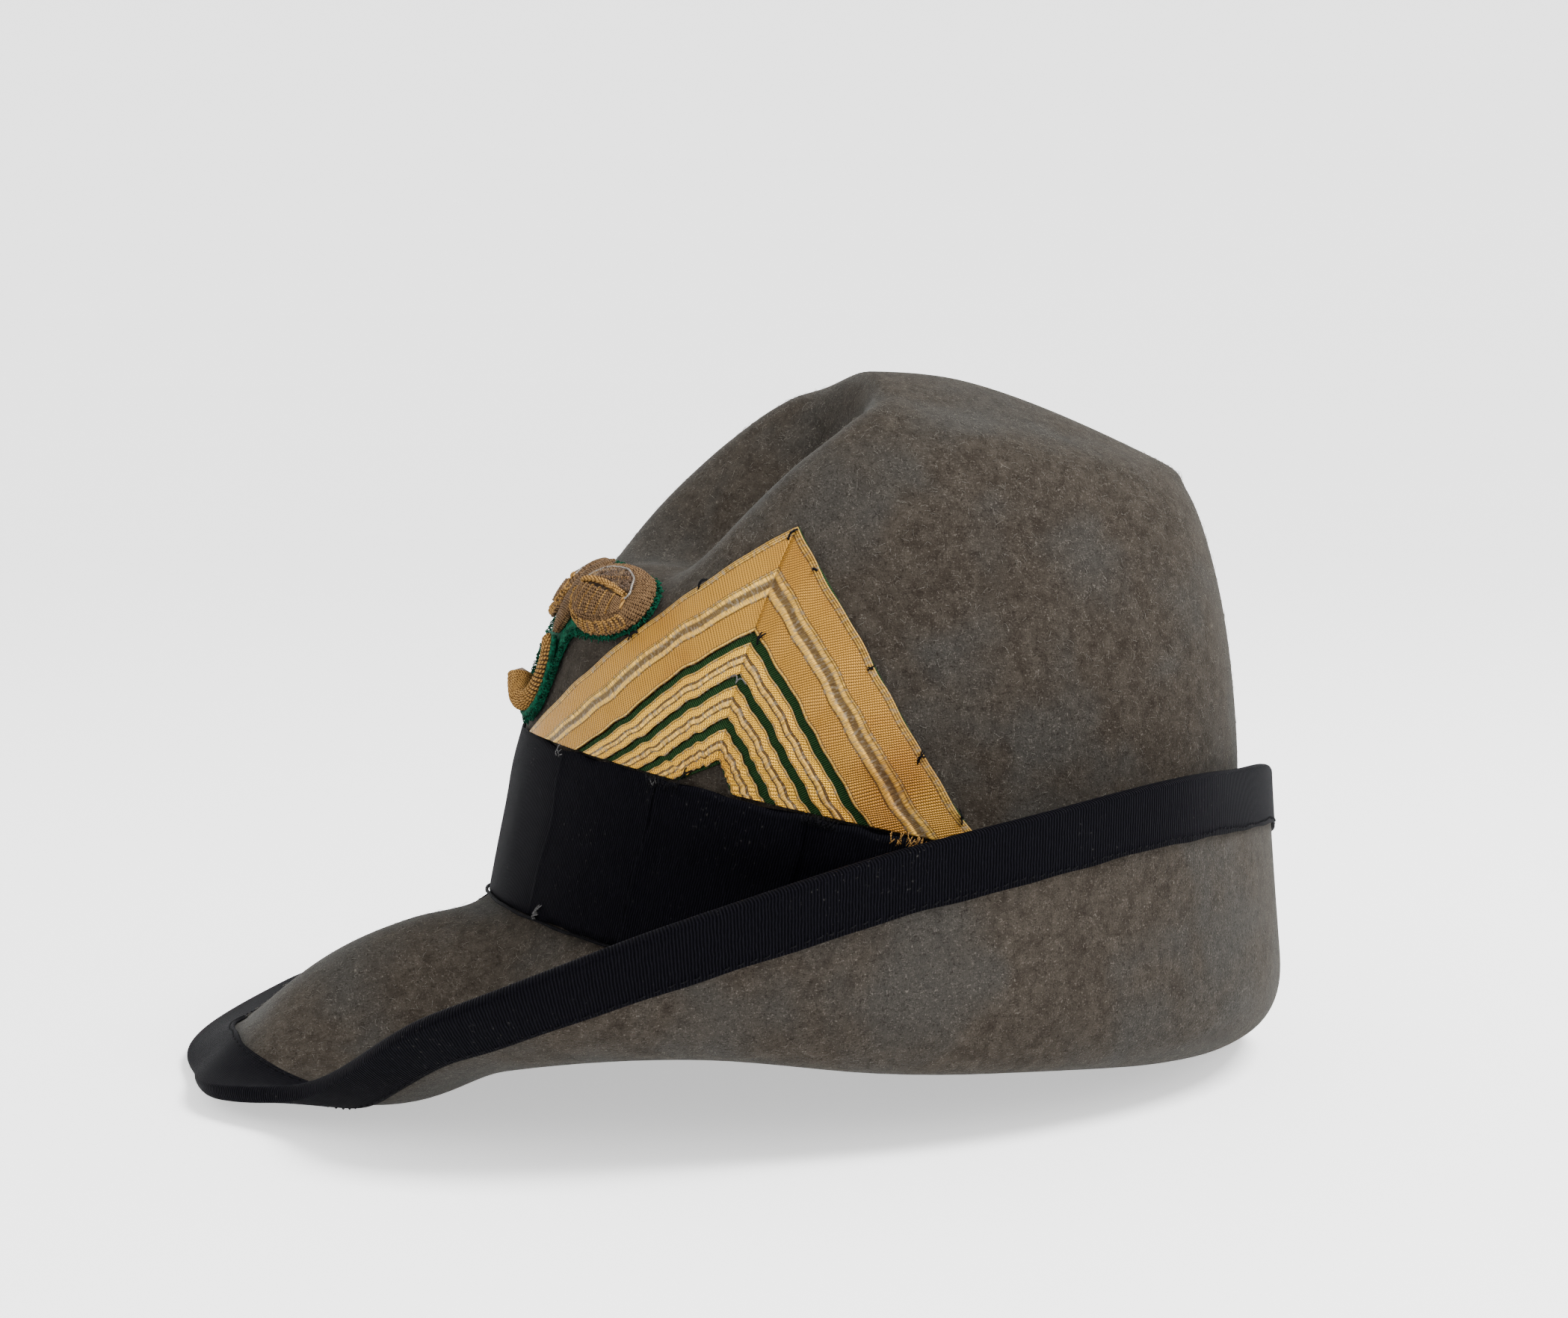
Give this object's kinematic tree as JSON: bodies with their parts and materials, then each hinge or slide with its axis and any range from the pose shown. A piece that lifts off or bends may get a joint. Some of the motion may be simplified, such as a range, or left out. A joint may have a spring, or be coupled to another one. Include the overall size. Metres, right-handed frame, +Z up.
{
  "type": "felt hat",
  "caption": "Grey-green felt alpine hat with upturned rear brim, peaked front, ribbon band and binding, gold lace chevron and bullion badge.",
  "frame": {"origin": "centre of the bounding box at the height of the table the hat lies on", "axes": "+Z up, -Y towards the hat's front (peak and badge), +X towards the wearer's left (bow and chevron)"},
  "size_m": [0.299, 0.2972, 0.1829],
  "materials": {
    "felt": "matte fulled wool or hair felt",
    "black_ribbon": "ribbed grosgrain, dull sheen",
    "green_cloth": "ribbed green cloth, matte",
    "gold_lace": "woven metallic lace, satin",
    "teal_cloth": "wool cloth, matte",
    "bullion": "tarnished metal-thread embroidery"
  },
  "bodies": {
    "root": {"felt_body": "felt", "brim_binding": "black_ribbon", "hat_band": "black_ribbon", "bow_front_loop": "black_ribbon", "bow_knot": "black_ribbon", "bow_rear_loop": "black_ribbon", "chevron_backing": "green_cloth", "chevron_lace_wide": "gold_lace", "chevron_lace_outer": "gold_lace", "chevron_lace_middle": "gold_lace", "chevron_lace_inner": "gold_lace", "badge_backing": "teal_cloth", "badge_left_wing": "bullion", "badge_right_wing": "bullion", "badge_bird": "bullion", "badge_horn": "bullion"}
  },
  "joints": []
}
